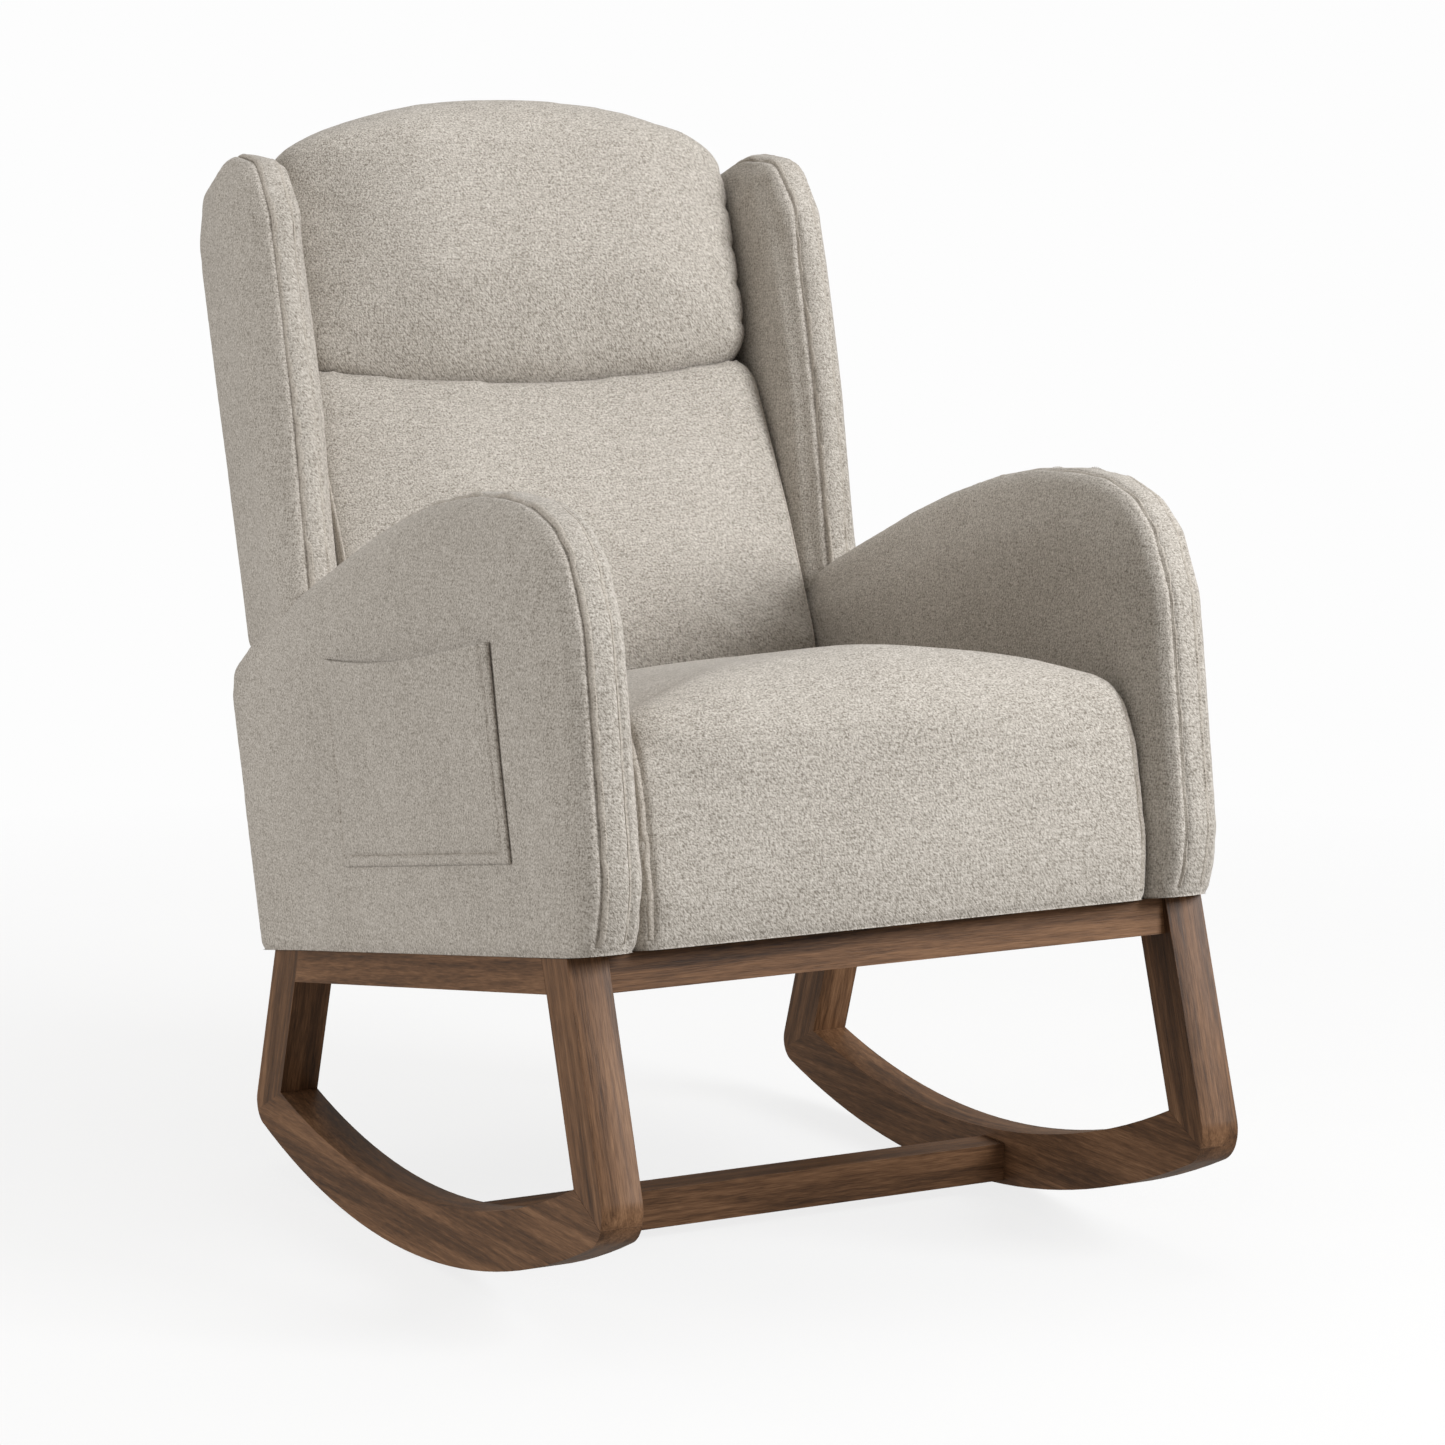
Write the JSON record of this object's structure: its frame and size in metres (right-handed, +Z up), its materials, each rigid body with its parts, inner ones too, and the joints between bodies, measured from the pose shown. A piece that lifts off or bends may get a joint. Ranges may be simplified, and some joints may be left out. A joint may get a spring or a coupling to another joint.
{
  "type": "rocking chair",
  "caption": "Upholstered wing-back rocking chair with rounded arms, side pockets and a bent walnut runner base.",
  "frame": {"origin": "on the floor, under the middle of the chair's width and depth, with the chair at rest on its runners", "axes": "+Z up, -Y the way the sitter faces, +X the sitter's left"},
  "size_m": [0.6612, 0.9839, 1.0547],
  "materials": {
    "walnut": "satin",
    "frame_timber": "matte",
    "upholstery": "matte",
    "welting": "matte",
    "dark_lining": "matte",
    "steel": "satin"
  },
  "bodies": {
    "root": {"left_front_leg": "walnut", "right_front_leg": "walnut", "left_rear_leg": "walnut", "right_rear_leg": "walnut", "left_side_rail": "walnut", "right_side_rail": "walnut", "left_runner": "walnut", "right_runner": "walnut", "front_rail": "walnut", "rear_rail": "walnut", "runner_stretcher": "walnut", "corner_blocks": "frame_timber", "frame_dowels": "frame_timber", "seat_bolts": "steel", "arm_bolts": "steel", "arm_spacers": "frame_timber", "body_bolts": "steel", "seat_front_board": "frame_timber", "seat_rear_board": "frame_timber", "seat_side_boards": "frame_timber", "seat_springs": "steel", "spring_clips": "steel", "seat_cushion": "upholstery", "seat_apron": "upholstery", "seat_side_pads": "upholstery", "dust_cover": "dark_lining", "left_arm_panel": "frame_timber", "right_arm_panel": "frame_timber", "left_arm_pad": "upholstery", "right_arm_pad": "upholstery", "left_arm_welts": "welting", "right_arm_welts": "welting", "left_pocket": "upholstery", "right_pocket": "upholstery", "back_posts": "frame_timber", "back_top_rail": "frame_timber", "back_mid_rail": "frame_timber", "back_bottom_rail": "frame_timber", "back_webbing": "dark_lining", "back_cushion": "upholstery", "head_cushion": "upholstery", "left_wing_panel": "frame_timber", "right_wing_panel": "frame_timber", "wing_spacers": "frame_timber", "left_wing_pad": "upholstery", "right_wing_pad": "upholstery", "left_wing_welts": "welting", "right_wing_welts": "welting", "outside_back": "upholstery"}
  },
  "joints": []
}
